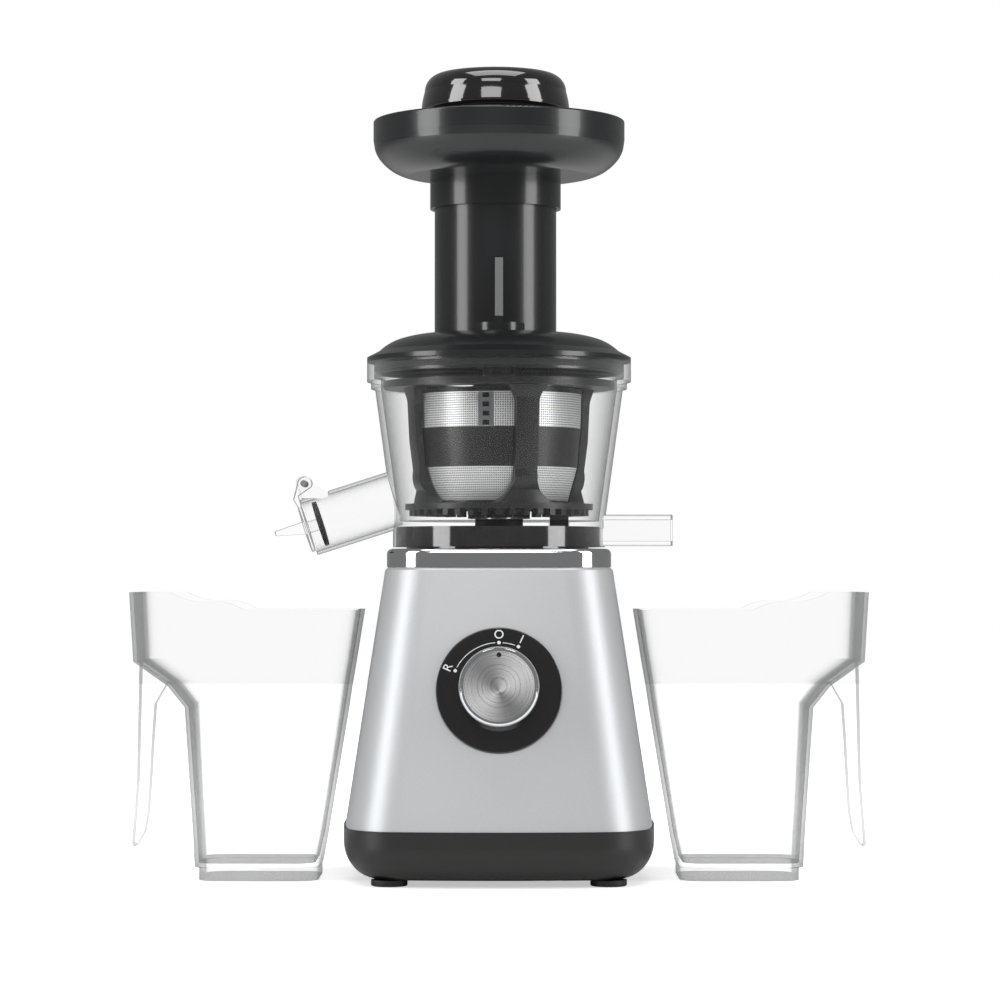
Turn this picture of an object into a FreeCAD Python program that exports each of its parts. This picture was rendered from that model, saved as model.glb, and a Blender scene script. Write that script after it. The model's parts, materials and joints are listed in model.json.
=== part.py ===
import FreeCAD, Part
import math
import os
from types import SimpleNamespace
import Sketcher

# Cold press juicer with two jugs, in millimetres.
# The origin is on the counter under the vertical axis of the machine.
# The dial is at the front, towards -Y; juice leaves towards -X and pulp towards +X.

Vector = FreeCAD.Vector
Rotation = FreeCAD.Rotation
Placement = FreeCAD.Placement
UP = Vector(0, 0, 1)

DRIVING_SIZES = {
    # motor base
    "foot_radius": 8.85, "foot_height": 3.0, "foot_offset": 53.0, "foot_edge": 0.8,
    "pan_half": 77.0, "pan_top": 27.3, "pan_wall": 3.0, "pan_edge": 16.0,
    "base_bottom_half": 76.2, "base_top_half": 56.5, "base_top": 154.0, "base_wall": 2.6,
    "side_radius": 420.0, "bottom_corner": 30.0, "top_corner": 26.0, "shoulder": 1.5,
    "chrome_half": 55.8, "chrome_top": 163.0, "chrome_width": 3.8, "chrome_edge": 2.5,
    "deck_top": 162.6, "plinth_radius": 46.3, "plinth_top": 170.0, "hub_radius": 30.0,
    "shaft_radius": 6.0, "seal_radius": 10.0, "running_gap": 0.05, "clearance": 0.3,
    # dial
    "dial_height": 94.7, "dial_radius": 30.4, "dial_recess": 1.4, "dial_proud": 1.0,
    "knob_base_radius": 20.1, "knob_face_radius": 18.1, "knob_depth": 15.4,
    "spindle_radius": 3.0, "switch_radius": 13.0, "switch_depth": 16.0,
    "gland_length": 12.02, "gland_side": 40.0, "gland_height": 48.0,
    # motor and gearbox
    "motor_offset": 6.8, "layshaft_offset": 30.0, "post_radius": 4.5, "post_circle": 40.0,
    "stator_bottom": 40.0, "stator_top": 104.0, "stator_radius": 44.0, "stator_bore": 27.0,
    "plate_radius": 50.0, "plate_top": 110.0, "cover_bottom": 135.0, "cover_top": 140.0,
    "first_gear_level": 114.0, "second_gear_level": 123.0, "gear_width": 7.0,
    "pillar_circle": 42.5, "first_module": 0.8, "second_module": 1.0, "layshaft_radius": 3.0,
    # bowl
    "bowl_foot": 164.0, "floor_under": 174.0, "floor_top": 177.0, "skirt_radius": 53.0,
    "skirt_wall": 1.6, "bowl_wall": 3.0, "wall_top": 243.0, "bowl_top_radius": 62.0,
    "step_radius": 64.0, "step_height": 246.6, "rim_radius": 66.0, "rim_top": 256.4,
    "rim_bore": 62.5, "rim_ledge": 248.5, "collar_bore": 47.0,
    "duct_half": 12.0, "duct_start": 22.5, "duct_end": 86.3, "duct_bottom": 164.6,
    "duct_top": 180.1, "port_start": 25.0, "port_end": 35.0, "port_half": 8.5,
    "spout_x": 53.2, "spout_z": 187.3, "spout_end_x": 94.9, "spout_end_z": 173.9,
    "spout_radius": 14.5, "spout_bore": 13.0, "hinge_x": 97.3, "hinge_z": 195.7,
    "pin_radius": 1.6, "lug_radius": 3.8, "lug_half": 8.5, "lug_gap": 5.8,
    "flap_radius": 12.2, "flap_gap": 0.6, "flap_thickness": 1.6, "plug_depth": 5.0,
    "plug_radius": 11.4, "plug_thickness": 2.0, "stem_radius": 3.0,
    # strainer
    "mesh_top_radius": 41.2, "mesh_top": 240.0, "band_top_radius": 40.7, "band_top": 222.9,
    "band_bottom_radius": 38.9, "band_bottom": 203.4, "mesh_low_radius": 34.4,
    "mesh_bottom": 187.0, "mesh_wall": 0.6, "strainer_rim": 242.4,
    "strainer_floor": 183.6, "strainer_bore": 15.6, "rib_width": 2.0,
    # wiper basket
    "basket_ring_top": 246.6, "basket_ring_bottom": 242.9, "basket_ring_radius": 57.8,
    "basket_ring_bore": 42.4, "flange_top": 185.5, "flange_bottom": 182.6,
    "flange_radius": 46.9, "flange_bore": 36.4, "prong_bottom": 179.6, "prong_radius": 44.8,
    "prong_bore": 38.9, "prong_width": 2.5, "prong_count": 40, "post_width": 11.5,
    "post_top_width": 20.0, "post_foot_width": 30.0, "post_gap": 1.5, "blade_width": 3.0,
    # auger
    "auger_module": 2.0, "auger_teeth": 12, "idler_teeth": 14, "ring_gear_bottom": 178.6,
    "ring_gear_top": 182.0, "auger_neck": 13.5, "auger_core": 20.0, "auger_top_core": 14.0,
    "auger_foot": 188.0, "auger_head": 244.0, "auger_shaft": 8.0, "auger_tip": 272.0,
    "flight_pitch": 26.0, "flight_width": 4.5, "socket_radius": 9.0, "socket_top": 205.0,
    "hex_flat": 5.6, "hex_top": 200.0,
    # lid, tray and pusher
    "lid_edge_top": 258.6, "lid_wall": 2.6, "skirt_bottom": 250.5, "lid_skirt_radius": 61.6,
    "tube_x": -1.8, "tube_y": 25.0, "tube_radius": 30.9,
    "tube_bore": 28.5, "tube_top": 349.0, "boss_radius": 13.0, "boss_top": 276.0,
    "boss_bottom": 262.0, "fin_width": 4.0, "fin_top": 310.6,
    "sleeve_radius": 33.2, "sleeve_bottom": 335.8, "tray_y": 3.0, "tray_radius": 63.0,
    "tray_top": 377.6, "tray_bottom": 350.0, "tray_wall": 2.2,
    "pusher_radius": 27.6, "pusher_bottom": 280.0, "pusher_skirt": 33.0, "pusher_seat": 360.0,
    "cap_radius": 37.5, "cap_bottom": 384.0, "cap_top": 404.6, "cap_edge": 9.0,
    # jugs, given for the left one and mirrored for the right one
    "jug_wall": 2.0, "jug_foot": 6.5, "jug_low_rim": 133.0, "jug_high_rim": 141.6,
    "jug_foot_far": 147.9, "jug_foot_near": 89.0,
    "handle_half": 8.0,
}

document = FreeCAD.newDocument("ColdPressJuicer")
sheet = document.addObject("Spreadsheet::Sheet", "Sizes")
for row, (alias, number) in enumerate(DRIVING_SIZES.items(), 1):
    sheet.set(f"A{row}", alias)
    sheet.set(f"B{row}", str(number))
    sheet.setAlias(f"B{row}", alias)
document.recompute()


class Size:
    """A length with the sheet expression that gives it."""

    def __init__(self, number, text):
        self.number = number
        self.text = text

    def __add__(self, other):
        other = as_size(other)
        return Size(self.number + other.number, f"({self.text} + {other.text})")

    def __sub__(self, other):
        other = as_size(other)
        return Size(self.number - other.number, f"({self.text} - {other.text})")

    def __mul__(self, other):
        other = as_size(other)
        return Size(self.number * other.number, f"({self.text} * {other.text})")

    def __truediv__(self, other):
        other = as_size(other)
        return Size(self.number / other.number, f"({self.text} / {other.text})")

    def __neg__(self):
        return Size(-self.number, f"(0 - {self.text})")

    __radd__ = __add__
    __rmul__ = __mul__

    def __rsub__(self, other):
        return as_size(other) - self

    def root(self):
        return Size(math.sqrt(self.number), f"sqrt({self.text})")


def as_size(value):
    if isinstance(value, Size):
        return value
    return Size(float(value), f"({float(value)!r})")


dim = SimpleNamespace(**{
    alias: Size(float(sheet.get(alias)), f"Sizes.{alias}") for alias in DRIVING_SIZES
})
pieces = {}


def bind(item, field, size):
    """Set one property of an object from a sheet expression."""
    size = as_size(size)
    item.setExpression(field, size.text)


def new_body(label):
    body = document.addObject("PartDesign::Body", label)
    body.Label = label
    pieces[label] = body
    return body


def origin_feature(body, role):
    return next(item for item in body.Origin.OriginFeatures if item.Role == role)


def new_sketch(body, role="XZ_Plane", level=0.0, turn=0.0):
    """A sketch on one origin plane of its body, lifted and turned in that plane."""
    sketch = body.newObject("Sketcher::SketchObject", f"{body.Name}_sketch")
    sketch.AttachmentSupport = [(origin_feature(body, role), "")]
    sketch.MapMode = "FlatFace"
    sketch.AttachmentOffset = Placement(Vector(0, 0, 0), Rotation(UP, turn))
    bind(sketch, "AttachmentOffset.Base.z", level)
    return sketch


def arc_between(start, end, radius):
    """The shorter arc from start to end; a positive radius turns left."""
    chord = end - start
    middle = (start + end) * 0.5
    rise = math.sqrt(max(radius * radius - chord.Length ** 2 / 4, 0))
    side = Vector(-chord.y, chord.x, 0).normalize() * math.copysign(rise, radius)
    centre = middle + side
    first, last = (start, end) if radius > 0 else (end, start)
    angles = [math.atan2(spot.y - centre.y, spot.x - centre.x) for spot in (first, last)]
    if angles[1] < angles[0]:
        angles[1] += 2 * math.pi
    return Part.ArcOfCircle(Part.Circle(centre, UP, abs(radius)), angles[0], angles[1])


def draw(sketch, outline):
    """Draw a closed outline of (x, y) or (x, y, radius of the arc that arrives there)."""
    points = [[as_size(value) for value in point] for point in outline]
    count = len(points)
    first_geometry = sketch.GeometryCount
    ends = []
    for index, point in enumerate(points):
        before = points[index - 1]
        start = Vector(before[0].number, before[1].number, 0)
        end = Vector(point[0].number, point[1].number, 0)
        if len(point) == 3:
            sketch.addGeometry(arc_between(start, end, point[2].number), False)
            ends.append((1, 2) if point[2].number > 0 else (2, 1))
        else:
            sketch.addGeometry(Part.LineSegment(start, end), False)
            ends.append((1, 2))
    for index, point in enumerate(points):
        geometry = first_geometry + index
        following = first_geometry + (index + 1) % count
        arrives, leaves = ends[index][1], ends[(index + 1) % count][0]
        sketch.addConstraint(Sketcher.Constraint("Coincident", geometry, arrives, following, leaves))
        for kind, size in (("DistanceX", point[0]), ("DistanceY", point[1])):
            rule = Sketcher.Constraint(kind, -1, 1, geometry, arrives, size.number)
            number = sketch.addConstraint(rule)
            bind(sketch, f"Constraints[{number}]", size)
        if len(point) == 3:
            radius = point[2] if point[2].number > 0 else -point[2]
            number = sketch.addConstraint(Sketcher.Constraint("Radius", geometry, radius.number))
            bind(sketch, f"Constraints[{number}]", radius)


def circle(sketch, x, y, radius):
    x, y, radius = as_size(x), as_size(y), as_size(radius)
    spot = Vector(x.number, y.number, 0)
    number = sketch.addGeometry(Part.Circle(spot, UP, radius.number), False)
    for rule, size in (
        (Sketcher.Constraint("DistanceX", -1, 1, number, 3, x.number), x),
        (Sketcher.Constraint("DistanceY", -1, 1, number, 3, y.number), y),
        (Sketcher.Constraint("Radius", number, radius.number), radius),
    ):
        bind(sketch, f"Constraints[{sketch.addConstraint(rule)}]", size)


def revolve(body, outline, cut=False):
    """Turn an (r, z) outline about the body's own vertical axis."""
    sketch = new_sketch(body)
    draw(sketch, outline)
    kind = "PartDesign::Groove" if cut else "PartDesign::Revolution"
    feature = body.newObject(kind, f"{body.Name}_turned")
    feature.Profile = sketch
    feature.ReferenceAxis = (sketch, ["V_Axis"])
    feature.Angle = 360
    body.Tip = feature
    return feature


def extrude(body, outline, length, role="XY_Plane", level=0.0, turn=0.0, both=False, cut=False):
    """Pad or pocket an outline along its plane's normal; a circle is (x, y, radius) alone."""
    sketch = new_sketch(body, role, level, turn)
    if isinstance(outline, tuple):
        circle(sketch, *outline)
    else:
        draw(sketch, outline)
    kind = "PartDesign::Pocket" if cut else "PartDesign::Pad"
    feature = body.newObject(kind, f"{body.Name}_extruded")
    feature.Profile = sketch
    bind(feature, "Length", length)
    feature.Midplane = both
    feature.Reversed = cut and not both
    body.Tip = feature
    return feature


def loft(body, sections, cut=False):
    """Ruled loft through (level, outline) sections."""
    sketches = []
    for level, outline in sections:
        sketches.append(new_sketch(body, "XY_Plane", level))
        draw(sketches[-1], outline)
    kind = "PartDesign::SubtractiveLoft" if cut else "PartDesign::AdditiveLoft"
    feature = body.newObject(kind, f"{body.Name}_loft")
    feature.Profile = sketches[0]
    feature.Sections = sketches[1:]
    feature.Ruled = True
    body.Tip = feature
    return feature


def rod(body, start, axis, radius, length, cut=False):
    """Add or cut a cylinder from a point along any direction."""
    kind = "PartDesign::SubtractiveCylinder" if cut else "PartDesign::AdditiveCylinder"
    feature = body.newObject(kind, f"{body.Name}_rod")
    bind(feature, "Radius", radius)
    bind(feature, "Height", length)
    spot = [as_size(value) for value in start]
    feature.Placement = Placement(Vector(*[value.number for value in spot]), Rotation(UP, axis))
    for letter, value in zip("xyz", spot):
        bind(feature, f"Placement.Base.{letter}", value)
    body.Tip = feature
    return feature


def around(body, feature, count, degrees=360):
    """Repeat a feature round the body's vertical axis."""
    pattern = body.newObject("PartDesign::PolarPattern", f"{body.Name}_pattern")
    pattern.Originals = [feature]
    pattern.Axis = (origin_feature(body, "Z_Axis"), [""])
    pattern.Angle = degrees
    bind(pattern, "Occurrences", count)
    body.Tip = pattern
    return pattern


def edges_where(shape, wanted):
    return [f"Edge{index}" for index, edge in enumerate(shape.Edges, 1) if wanted(edge)]


def fillet(body, radius, wanted):
    """Round the edges of the body's tip that a test picks out."""
    document.recompute()
    base = body.Tip
    names = edges_where(base.Shape, wanted)
    feature = body.newObject("PartDesign::Fillet", f"{body.Name}_fillet")
    feature.Base = (base, names)
    bind(feature, "Radius", radius)
    body.Tip = feature
    return feature


def at_level(level, outer=None):
    """A test for edges that lie flat at one height, and reach out at least so far."""
    def wanted(edge):
        box = edge.BoundBox
        flat = abs(box.ZMin - level.number) < 0.02 and abs(box.ZMax - level.number) < 0.02
        reach = max(abs(box.XMin), abs(box.XMax), abs(box.YMin), abs(box.YMax))
        return flat and (outer is None or reach > as_size(outer).number - 0.1)
    return wanted


def rectangle(x_low, y_low, x_high, y_high):
    return [(x_low, y_low), (x_high, y_low), (x_high, y_high), (x_low, y_high)]


def rounded_rectangle(x_low, y_low, x_high, y_high, radius):
    return [
        (x_high - radius, y_low), (x_high, y_low + radius, radius),
        (x_high, y_high - radius), (x_high - radius, y_high, radius),
        (x_low + radius, y_high), (x_low, y_high - radius, radius),
        (x_low, y_low + radius), (x_low + radius, y_low, radius),
    ]


def bulged_square(half, side, corner):
    """Eight tangent arcs: four faces of a large radius and four round corners."""
    deep = side - half
    reach = ((side - corner) * (side - corner) * 2 - deep * deep).root()
    centre = (reach - deep) / 2
    factor = side / (side - corner)
    near = centre * factor
    far = (centre + deep) * factor - deep
    return [
        (near, -far, side), (far, -near, corner), (far, near, side), (near, far, corner),
        (-near, far, side), (-far, near, corner), (-far, -near, side), (-near, -far, corner),
    ]


def tooth(pitch_radius, module, thin=0.36):
    """One straight-flanked gear tooth along +X, from inside the root circle."""
    root = pitch_radius - module * 1.6
    tip = pitch_radius + module * 0.85
    wide = module * math.pi * thin / 2
    foot = wide + module * 0.38
    narrow = wide - module * 0.3
    return [(root, -foot), (tip, -narrow), (tip, narrow), (root, foot)]


def gear(body, teeth, module, bottom, width, turn=0.0):
    """A spur gear: a root disc and one tooth repeated round it."""
    pitch_radius = module * teeth / 2
    extrude(body, (0, 0, pitch_radius - module * 1.25), width, level=bottom)
    one = extrude(body, tooth(pitch_radius, module), width, level=bottom, turn=turn)
    around(body, one, teeth)


def ring_outline(inner, outer, bottom, top):
    return [(inner, bottom), (outer, bottom), (outer, top), (inner, top)]


def turned(label, outline):
    body = new_body(label)
    revolve(body, outline)
    return body


def move(body, x=0.0, y=0.0, z=0.0, rotation=None):
    """Place a whole body; its offsets stay bound to the sheet."""
    spot = [as_size(value) for value in (x, y, z)]
    body.Placement = Placement(
        Vector(*[value.number for value in spot]), rotation or Rotation()
    )
    for letter, value in zip("xyz", spot):
        bind(body, f"Placement.Base.{letter}", value)


# Motor base: rounded-square housing on a black pan with four feet

face_rise = dim.base_top - dim.pan_top
face_run = dim.base_bottom_half - dim.base_top_half
face_tilt = math.degrees(math.atan2(face_run.number, face_rise.number))
dial_y = -(dim.base_bottom_half - (dim.dial_height - dim.pan_top) * face_run / face_rise)
dial_turn = Rotation(Vector(1, 0, 0), 90 - face_tilt)
dial_out = dial_turn.multVec(UP)


def inset(half, corner, amount):
    return bulged_square(half - amount, dim.side_radius - amount, corner - amount)


def hollow(body, wall, side):
    """Shell a solid inwards, open at its highest face for side 1 or its lowest for -1."""
    document.recompute()
    base = body.Tip
    heights = [face.CenterOfMass.z * side for face in base.Shape.Faces]
    shell = body.newObject("PartDesign::Thickness", f"{body.Name}_shell")
    shell.Base = (base, [f"Face{heights.index(max(heights)) + 1}"])
    bind(shell, "Value", wall)
    shell.Reversed = True
    body.Tip = shell


def make_pan():
    body = new_body("base_pan")
    floor = dim.foot_height
    outer = inset(dim.pan_half, dim.bottom_corner, 0.0)
    extrude(body, outer, dim.pan_top - floor, level=floor)
    fillet(body, dim.pan_edge, at_level(floor))
    hollow(body, dim.pan_wall, 1)
    inside = floor + dim.pan_wall
    post_spot = dim.post_circle * math.sqrt(0.5)
    for x_side in (-1, 1):
        for y_side in (-1, 1):
            x, y = post_spot * x_side, post_spot * y_side + dim.motor_offset
            extrude(body, (x, y, dim.post_radius), dim.stator_bottom - inside + 0.5, level=inside - 0.5)


def make_feet():
    for y_side, y_name in ((-1, "front"), (1, "rear")):
        for x_side, x_name in ((-1, "left"), (1, "right")):
            edge = dim.foot_edge
            foot = turned(f"foot_{y_name}_{x_name}", [
                (0, 0), (dim.foot_radius - edge, 0), (dim.foot_radius, edge, edge),
                (dim.foot_radius, dim.foot_height), (0, dim.foot_height),
            ])
            move(foot, dim.foot_offset * x_side, dim.foot_offset * y_side)


def make_housing():
    body = new_body("base_housing")
    shoulder_half = dim.base_top_half + dim.shoulder * face_run / face_rise
    loft(body, [
        (dim.pan_top, inset(dim.base_bottom_half, dim.bottom_corner, 0.0)),
        (dim.base_top - dim.shoulder, inset(shoulder_half, dim.top_corner, 0.0)),
        (dim.base_top, inset(dim.base_top_half, dim.top_corner, dim.shoulder)),
    ])
    inner_top = dim.base_top - dim.base_wall
    loft(body, [
        (dim.pan_top, inset(dim.base_bottom_half, dim.bottom_corner, dim.base_wall)),
        (inner_top, inset(dim.base_top_half, dim.top_corner, dim.base_wall)),
    ], cut=True)
    rod(body, (0, 0, inner_top - 1), UP, dim.hub_radius, dim.base_wall + 2, cut=True)
    recess = [0, dial_y - dim.dial_recess * dial_out.y, dim.dial_height - dim.dial_recess * dial_out.z]
    rod(body, recess, dial_out, dim.dial_radius + 0.1, dim.dial_recess + 4, cut=True)
    behind = [0, dial_y + 8, dim.dial_height - 1.25]
    rod(body, behind, dial_out, dim.spindle_radius + 3, 20, cut=True)


def make_top():
    ring = new_body("chrome_ring")
    height = dim.chrome_top - dim.base_top
    extrude(ring, inset(dim.chrome_half, dim.top_corner, 0.0), height, level=dim.base_top)
    fillet(ring, dim.chrome_edge, at_level(dim.chrome_top))
    extrude(ring, inset(dim.chrome_half, dim.top_corner, dim.chrome_width), height + 2,
            level=dim.base_top - 1, cut=True)
    deck = new_body("top_deck")
    extrude(deck, inset(dim.chrome_half, dim.top_corner, dim.chrome_width),
            dim.deck_top - dim.base_top, level=dim.base_top)
    revolve(deck, [
        (0, dim.cover_top + 10), (dim.hub_radius, dim.cover_top + 10), (dim.hub_radius, dim.deck_top),
        (dim.plinth_radius, dim.deck_top), (dim.plinth_radius, dim.plinth_top - 1),
        (dim.plinth_radius - 1, dim.plinth_top, 1.0), (0, dim.plinth_top),
    ])
    rod(deck, (0, 0, dim.cover_top), UP, dim.seal_radius, 40, cut=True)
    notch = rectangle(dim.duct_start - 2, -(dim.duct_half + 1.2), 60, dim.duct_half + 1.2)
    extrude(deck, notch, 20, level=dim.deck_top + 0.8, cut=True)
    turned("shaft_seal", ring_outline(
        dim.shaft_radius + dim.running_gap, dim.seal_radius, dim.plinth_top - 6, dim.plinth_top - 1))


def make_dial():
    plate = turned("dial_plate", [
        (dim.spindle_radius + 0.6, -dim.dial_recess), (dim.dial_radius, -dim.dial_recess),
        (dim.dial_radius, dim.dial_proud - 0.5), (dim.dial_radius - 0.5, dim.dial_proud, 0.5),
        (dim.spindle_radius + 0.6, dim.dial_proud),
    ])
    back = -(dim.base_wall + 0.9)
    deep = back - dim.switch_depth
    bore = dim.spindle_radius + dim.running_gap
    switch = turned("rotary_switch", [
        (bore, deep + 3), (bore, -dim.dial_recess),
        (dim.spindle_radius + 2.8, -dim.dial_recess), (dim.spindle_radius + 2.8, back),
        (dim.switch_radius, back), (dim.switch_radius, deep), (0, deep), (0, deep + 3),
    ])
    gap = dim.dial_proud + 0.4
    top = gap + dim.knob_depth
    rim = top - 2
    hub = turned("knob_hub", [
        (0, deep + 4), (dim.spindle_radius, deep + 4), (dim.spindle_radius, gap),
        (dim.knob_base_radius, gap), (dim.knob_base_radius, gap + 1.5),
        (dim.knob_face_radius + 1.2, rim), (dim.knob_face_radius, top, 3.0),
        (dim.knob_face_radius - 1, top), (dim.knob_face_radius - 1, top - 1), (0, top - 1),
    ])
    cap = turned("knob_cap", [
        (0, top - 1), (dim.knob_face_radius - 1, top - 1), (dim.knob_face_radius - 1, top - 0.3),
        (0, top - 0.3),
    ])
    for piece in (plate, switch, hub, cap):
        move(piece, 0, dial_y, dim.dial_height, dial_turn)


def make_gland():
    """Strain relief of the cord at the back, as far out as the knob is at the front."""
    gland = turned("cable_gland", [
        (3, 0), (8, 0), (8, 2), (5.5, 2), (5.5, dim.gland_length), (3, dim.gland_length),
    ])
    wall_y = dim.base_bottom_half - (dim.gland_height - dim.pan_top) * face_run / face_rise
    move(gland, dim.gland_side, wall_y - 0.6, dim.gland_height, Rotation(Vector(1, 0, 0), face_tilt - 90))


# Motor and two-stage gearbox inside the housing

def make_motor():
    stator = turned("motor_stator", ring_outline(
        dim.stator_bore, dim.stator_radius, dim.stator_bottom + 8, dim.stator_top - 8))
    windings = turned("motor_windings_upper", ring_outline(
        dim.stator_bore + 2, dim.stator_radius - 4, dim.stator_top - 8, dim.stator_top - 2))
    bracket = turned("motor_lower_bracket", [
        (dim.shaft_radius - 2 + dim.running_gap, dim.stator_bottom),
        (dim.stator_radius, dim.stator_bottom), (dim.stator_radius, dim.stator_bottom + 8),
        (dim.stator_radius - 4, dim.stator_bottom + 8), (dim.stator_radius - 4, dim.stator_bottom + 3),
        (dim.shaft_radius - 2 + dim.running_gap, dim.stator_bottom + 3),
    ])
    core = dim.stator_bore - 0.6
    shaft = dim.shaft_radius - 2
    rotor = new_body("motor_rotor")
    revolve(rotor, [
        (0, dim.stator_bottom - 12), (shaft, dim.stator_bottom - 12), (shaft, dim.stator_bottom + 10),
        (core, dim.stator_bottom + 10), (core, dim.stator_top - 10), (shaft, dim.stator_top - 10),
        (shaft, dim.first_gear_level - 0.5), (2.2, dim.first_gear_level - 0.5),
        (2.2, dim.first_gear_level + dim.gear_width), (0, dim.first_gear_level + dim.gear_width),
    ])
    gear(rotor, 10, dim.first_module, dim.first_gear_level, dim.gear_width)
    fan = new_body("cooling_fan")
    revolve(fan, ring_outline(shaft, 12, dim.stator_bottom - 10, dim.stator_bottom - 1))
    blade = extrude(fan, rectangle(11, -1, dim.stator_bore + 4, 1), 8, level=dim.stator_bottom - 10)
    around(fan, blade, 9)
    for piece in (stator, windings, bracket, rotor, fan):
        move(piece, 0, dim.motor_offset, 0)


def make_gearbox():
    plate = new_body("gearbox_plate")
    extrude(plate, (0, dim.motor_offset, dim.plate_radius), 3, level=dim.plate_top - 3)
    extrude(plate, (0, dim.motor_offset, dim.stator_radius), dim.plate_top - dim.stator_top,
            level=dim.stator_top)
    extrude(plate, (0, dim.motor_offset, dim.stator_radius), 8, level=dim.stator_top - 8)
    extrude(plate, (0, dim.motor_offset, dim.stator_radius - 3.5), 8.5,
            level=dim.stator_top - 8.5, cut=True)
    extrude(plate, (0, dim.motor_offset, dim.shaft_radius - 2 + dim.running_gap), 40,
            level=dim.stator_top - 9, cut=True)
    for degrees in (-30, 180, 210):
        angle = math.radians(degrees)
        x, y = dim.pillar_circle * math.cos(angle), dim.pillar_circle * math.sin(angle)
        extrude(plate, (x, y, 4), dim.cover_bottom - dim.plate_top + 0.5, level=dim.plate_top - 0.5)
    cover = new_body("gearbox_cover")
    extrude(cover, (0, 4, dim.plate_radius - 1), dim.cover_top - dim.cover_bottom, level=dim.cover_bottom)
    extrude(cover, (0, 0, dim.seal_radius + 6), 10, level=dim.cover_top)
    extrude(cover, (0, 0, dim.seal_radius), 40, level=dim.cover_bottom - 1, cut=True)
    turned("output_bearing", ring_outline(
        dim.shaft_radius + dim.running_gap, dim.seal_radius, dim.cover_bottom, dim.cover_top + 8))
    pin = turned("layshaft_pin", [
        (0, dim.plate_top), (dim.layshaft_radius, dim.plate_top),
        (dim.layshaft_radius, dim.cover_bottom), (0, dim.cover_bottom),
    ])
    lay = new_body("intermediate_gear")
    gear(lay, 48, dim.first_module, dim.first_gear_level, dim.gear_width)
    middle = dim.first_gear_level + dim.gear_width
    gear(lay, 10, dim.second_module, middle - 0.5, dim.second_gear_level + dim.gear_width - middle + 0.5,
         turn=18.0)
    extrude(lay, (0, 0, dim.layshaft_radius + dim.running_gap), 60, level=dim.plate_top, cut=True)
    for piece in (pin, lay):
        move(piece, 0, dim.layshaft_offset, 0)
    output = new_body("output_gear")
    gear(output, 50, dim.second_module, dim.second_gear_level, dim.gear_width)
    extrude(output, (0, 0, dim.shaft_radius), 60, level=dim.plate_top, cut=True)
    shaft = new_body("drive_shaft")
    extrude(shaft, (0, 0, dim.shaft_radius), dim.plinth_top + 2 - dim.second_gear_level,
            level=dim.second_gear_level - 1)
    extrude(shaft, hexagon(dim.hex_flat), dim.hex_top - dim.plinth_top, level=dim.plinth_top)


def hexagon(flat):
    """A hexagon by the distance from its centre to a flat."""
    corner = flat * 2 / math.sqrt(3)
    return [(corner * math.cos(math.radians(a)), corner * math.sin(math.radians(a)))
            for a in range(0, 360, 60)]


# Juicing bowl with its spouts

SPOUT_ALONG = Vector(
    dim.spout_x.number - dim.spout_end_x.number, 0, dim.spout_end_z.number - dim.spout_z.number
).normalize()
SPOUT_UP = Vector(SPOUT_ALONG.z, 0, -SPOUT_ALONG.x)


def along_spout(distance, rise=0.0):
    """A point on the spout's axis, measured outwards from its mouth."""
    return (
        -dim.spout_end_x + as_size(distance) * SPOUT_ALONG.x + as_size(rise) * SPOUT_UP.x, 0,
        dim.spout_end_z + as_size(distance) * SPOUT_ALONG.z + as_size(rise) * SPOUT_UP.z,
    )


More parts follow.
